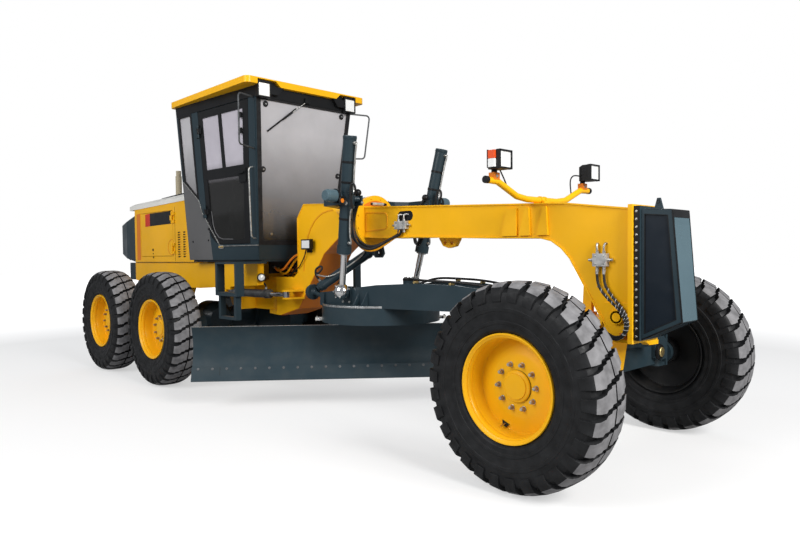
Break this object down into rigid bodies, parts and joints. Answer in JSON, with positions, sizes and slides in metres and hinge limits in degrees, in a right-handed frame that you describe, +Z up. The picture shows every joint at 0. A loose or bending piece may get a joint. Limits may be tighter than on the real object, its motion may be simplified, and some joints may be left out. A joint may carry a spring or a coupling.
{
  "type": "motor grader",
  "caption": "Articulated motor grader: cab over the rear frame, tandem rear wheels, arched front beam, drawbar with turning circle and curved side-shifting blade, leaning steered front wheels",
  "frame": {"origin": "On the ground, in the middle of the machine's length and width.", "axes": "+X forward along the machine, +Y to its left, +Z up. The machine stands on its six tyres at Z 0."},
  "size_m": [8.38, 2.872, 3.3003],
  "materials": {
    "yellow_paint": "satin yellow machine paint",
    "teal_paint": "satin dark blue-grey machine paint",
    "white_paint": "satin white paint",
    "tyre_rubber": "matt black rubber",
    "smoked_glass": "smoke-tinted clear glass",
    "chrome_rod": "polished hard chrome",
    "black_paint": "satin black paint",
    "black_plastic": "matt black",
    "seat_fabric": "dark woven cover",
    "exhaust_paint": "heat-proof beige paint",
    "dark_steel": "dark painted cast steel"
  },
  "bodies": {
    "rear_frame": {"rear_frame": "yellow_paint", "tandem_drive": "teal_paint", "engine_block": "dark_steel", "engine_hood": "yellow_paint", "hood_top": "white_paint", "radiator_cover": "teal_paint", "exhaust_stack": "exhaust_paint", "cab_frame": "teal_paint", "mirror_arms": "black_plastic", "cab_roof": "yellow_paint", "cab_glass": "smoked_glass", "seat": "seat_fabric", "steering_console": "black_plastic", "access_ladders": "black_plastic"},
    "front_frame": {"front_frame": "yellow_paint", "nose_cover": "teal_paint", "saddle": "teal_paint", "lamp_bar": "yellow_paint", "headlamps": "black_plastic", "front_axle": "teal_paint"},
    "lean_bar": {"lean_bar": "teal_paint"},
    "tie_rod_end": {"tie_rod_end": "dark_steel"},
    "tie_rod": {"tie_rod": "teal_paint"},
    "drawbar": {"drawbar": "teal_paint"},
    "circle": {"circle": "teal_paint"},
    "blade": {"moldboard": "teal_paint", "cutting_edge": "dark_steel"},
    "shift_barrel": {"shift_barrel": "teal_paint"},
    "shift_rod": {"shift_rod": "chrome_rod"},
    "art_barrel_right": {"art_barrel_right": "teal_paint"},
    "art_rod_right": {"art_rod_right": "chrome_rod"},
    "art_barrel_left": {"art_barrel_left": "teal_paint"},
    "art_rod_left": {"art_rod_left": "chrome_rod"},
    "lift_barrel_right": {"lift_barrel_right": "teal_paint"},
    "lift_rod_right": {"lift_rod_right": "chrome_rod"},
    "lift_barrel_left": {"lift_barrel_left": "teal_paint"},
    "lift_rod_left": {"lift_rod_left": "chrome_rod"},
    "lean_bracket_right": {"lean_bracket_right": "teal_paint"},
    "knuckle_right": {"knuckle_right": "teal_paint"},
    "lean_bracket_left": {"lean_bracket_left": "teal_paint"},
    "knuckle_left": {"knuckle_left": "teal_paint"},
    "wheel_front_right": {"tyre_front_right": "tyre_rubber", "rim_front_right": "yellow_paint"},
    "wheel_front_left": {"tyre_front_left": "tyre_rubber", "rim_front_left": "yellow_paint"},
    "wheel_mid_right": {"tyre_mid_right": "tyre_rubber", "rim_mid_right": "yellow_paint"},
    "wheel_mid_left": {"tyre_mid_left": "tyre_rubber", "rim_mid_left": "yellow_paint"},
    "wheel_rear_right": {"tyre_rear_right": "tyre_rubber", "rim_rear_right": "yellow_paint"},
    "wheel_rear_left": {"tyre_rear_left": "tyre_rubber", "rim_rear_left": "yellow_paint"},
    "door_right": {"door_right": "black_paint", "door_glass_right": "smoked_glass"},
    "hood_door_right": {"hood_door_right": "yellow_paint"},
    "door_left": {"door_left": "black_paint", "door_glass_left": "smoked_glass"},
    "hood_door_left": {"hood_door_left": "yellow_paint"}
  },
  "joints": [
    {"name": "articulation", "type": "hinge", "parent": "rear_frame", "child": "front_frame", "pos_m": [-0.61, 0, 1], "axis": [0, 0, 1], "range_deg": [-26, 26]},
    {"name": "art_swing_right", "type": "hinge", "parent": "rear_frame", "child": "art_barrel_right", "pos_m": [-0.96, -0.43, 1.055], "axis": [0, 0, 1], "range_deg": [-17, 17]},
    {"name": "art_slide_right", "type": "slide", "parent": "art_barrel_right", "child": "art_rod_right", "axis": [0.9958, 0.0915, 0], "range_m": [-0.19, 0.19]},
    {"name": "art_swing_left", "type": "hinge", "parent": "rear_frame", "child": "art_barrel_left", "pos_m": [-0.96, 0.43, 1.055], "axis": [0, 0, 1], "range_deg": [-17, 17]},
    {"name": "art_slide_left", "type": "slide", "parent": "art_barrel_left", "child": "art_rod_left", "axis": [0.9958, -0.0915, 0], "range_m": [-0.19, 0.19]},
    {"name": "drawbar_lift", "type": "hinge", "parent": "front_frame", "child": "drawbar", "pos_m": [3.31, 0, 0.95], "axis": [0, 1, 0], "range_deg": [-14, 4.75]},
    {"name": "lift_swing_right", "type": "hinge", "parent": "front_frame", "child": "lift_barrel_right", "pos_m": [1.304, -0.552, 1.975], "axis": [0.3276, 0.9447, 0.013], "range_deg": [-6, 2.5]},
    {"name": "lift_slide_right", "type": "slide", "parent": "lift_barrel_right", "child": "lift_rod_right", "axis": [-0.201, 0.0832, -0.9761], "range_m": [-0.19, 0.54]},
    {"name": "lift_swing_left", "type": "hinge", "parent": "front_frame", "child": "lift_barrel_left", "pos_m": [1.304, 0.552, 1.975], "axis": [-0.3276, 0.9447, -0.013], "range_deg": [-6, 2.5]},
    {"name": "lift_slide_left", "type": "slide", "parent": "lift_barrel_left", "child": "lift_rod_left", "axis": [-0.201, -0.0832, -0.9761], "range_m": [-0.19, 0.54]},
    {"name": "shift_swing", "type": "hinge", "parent": "drawbar", "child": "shift_barrel", "pos_m": [0.575, -0.4, 1.105], "axis": [0.9071, 0.3773, 0.1869], "range_deg": [-9.6, 27.5]},
    {"name": "shift_slide", "type": "slide", "parent": "shift_barrel", "child": "shift_rod", "axis": [0.3568, 0.7561, 0.5486], "range_m": [-0.15, 0.43]},
    {"name": "circle_turn", "type": "hinge", "parent": "drawbar", "child": "circle", "pos_m": [1.14, 0, 0.984], "axis": [0, 0, 1], "continuous": true},
    {"name": "blade_shift", "type": "slide", "parent": "circle", "child": "blade", "axis": [0.6508, 0.7593, 0], "range_m": [-0.45, 0.45]},
    {"name": "lean_right", "type": "hinge", "parent": "front_frame", "child": "lean_bracket_right", "pos_m": [3.54, -0.64, 0.69], "axis": [1, 0, 0], "range_deg": [-18, 18]},
    {"name": "steer_right", "type": "hinge", "parent": "lean_bracket_right", "child": "knuckle_right", "pos_m": [3.54, -0.8, 0.65], "axis": [0, 0, 1], "range_deg": [-45, 45]},
    {"name": "lean_left", "type": "hinge", "parent": "front_frame", "child": "lean_bracket_left", "pos_m": [3.54, 0.64, 0.69], "axis": [1, 0, 0], "range_deg": [-18, 18]},
    {"name": "steer_left", "type": "hinge", "parent": "lean_bracket_left", "child": "knuckle_left", "pos_m": [3.54, 0.8, 0.65], "axis": [0, 0, 1], "range_deg": [-45, 45]},
    {"name": "lean_bar_swing", "type": "hinge", "parent": "lean_bracket_right", "child": "lean_bar", "pos_m": [3.54, -0.64, 0.8], "axis": [1, 0, 0], "range_deg": [-18, 18]},
    {"name": "tie_end_swing", "type": "hinge", "parent": "knuckle_right", "child": "tie_rod_end", "pos_m": [3.31, -0.8, 0.579], "axis": [0, 0, 1], "range_deg": [-45, 45]},
    {"name": "tie_rod_tilt", "type": "hinge", "parent": "tie_rod_end", "child": "tie_rod", "pos_m": [3.31, -0.8, 0.615], "axis": [1, 0, 0], "range_deg": [-15, 15]},
    {"name": "wheel_front_right_spin", "type": "hinge", "parent": "knuckle_right", "child": "wheel_front_right", "pos_m": [3.54, -1.04, 0.65], "axis": [0, 1, 0], "continuous": true},
    {"name": "wheel_front_left_spin", "type": "hinge", "parent": "knuckle_left", "child": "wheel_front_left", "pos_m": [3.54, 1.04, 0.65], "axis": [0, 1, 0], "continuous": true},
    {"name": "wheel_mid_right_spin", "type": "hinge", "parent": "rear_frame", "child": "wheel_mid_right", "pos_m": [-1.445, -1.04, 0.65], "axis": [0, 1, 0], "continuous": true},
    {"name": "wheel_mid_left_spin", "type": "hinge", "parent": "rear_frame", "child": "wheel_mid_left", "pos_m": [-1.445, 1.04, 0.65], "axis": [0, 1, 0], "continuous": true},
    {"name": "wheel_rear_right_spin", "type": "hinge", "parent": "rear_frame", "child": "wheel_rear_right", "pos_m": [-2.995, -1.04, 0.65], "axis": [0, 1, 0], "continuous": true},
    {"name": "wheel_rear_left_spin", "type": "hinge", "parent": "rear_frame", "child": "wheel_rear_left", "pos_m": [-2.995, 1.04, 0.65], "axis": [0, 1, 0], "continuous": true},
    {"name": "door_right_swing", "type": "hinge", "parent": "rear_frame", "child": "door_right", "pos_m": [-1.17557, -0.62853, 1.98709], "axis": [-0.0053, 0.0798, -0.9968], "range_deg": [0, 80]},
    {"name": "hood_door_right_swing", "type": "hinge", "parent": "rear_frame", "child": "hood_door_right", "pos_m": [-2.333, -0.494, 1.78], "axis": [0, 0, 1], "range_deg": [0, 90]},
    {"name": "door_left_swing", "type": "hinge", "parent": "rear_frame", "child": "door_left", "pos_m": [-1.17557, 0.62853, 1.98709], "axis": [0.0053, 0.0798, 0.9968], "range_deg": [0, 80]},
    {"name": "hood_door_left_swing", "type": "hinge", "parent": "rear_frame", "child": "hood_door_left", "pos_m": [-2.333, 0.494, 1.78], "axis": [0, 0, -1], "range_deg": [0, 90]}
  ],
  "couplings": [
    {"joint": "art_swing_right", "follows": "articulation", "ratio": 0.60455},
    {"joint": "art_slide_right", "follows": "articulation", "m_per_rad": 0.3934},
    {"joint": "art_swing_left", "follows": "articulation", "ratio": 0.60455},
    {"joint": "art_slide_left", "follows": "articulation", "m_per_rad": -0.3934},
    {"joint": "lift_swing_right", "follows": "drawbar_lift", "ratio": 0.3894},
    {"joint": "lift_slide_right", "follows": "drawbar_lift", "m_per_rad": -2.149},
    {"joint": "lift_swing_left", "follows": "drawbar_lift", "ratio": 0.3894},
    {"joint": "lift_slide_left", "follows": "drawbar_lift", "m_per_rad": -2.149},
    {"joint": "shift_swing", "follows": "drawbar_lift", "ratio": -1.9312},
    {"joint": "shift_slide", "follows": "drawbar_lift", "m_per_rad": -1.721},
    {"joint": "lean_left", "follows": "lean_right", "ratio": 1},
    {"joint": "steer_left", "follows": "steer_right", "ratio": 1},
    {"joint": "lean_bar_swing", "follows": "lean_right", "ratio": -1},
    {"joint": "tie_end_swing", "follows": "steer_right", "ratio": -1},
    {"joint": "tie_rod_tilt", "follows": "lean_right", "ratio": -0.8}
  ]
}
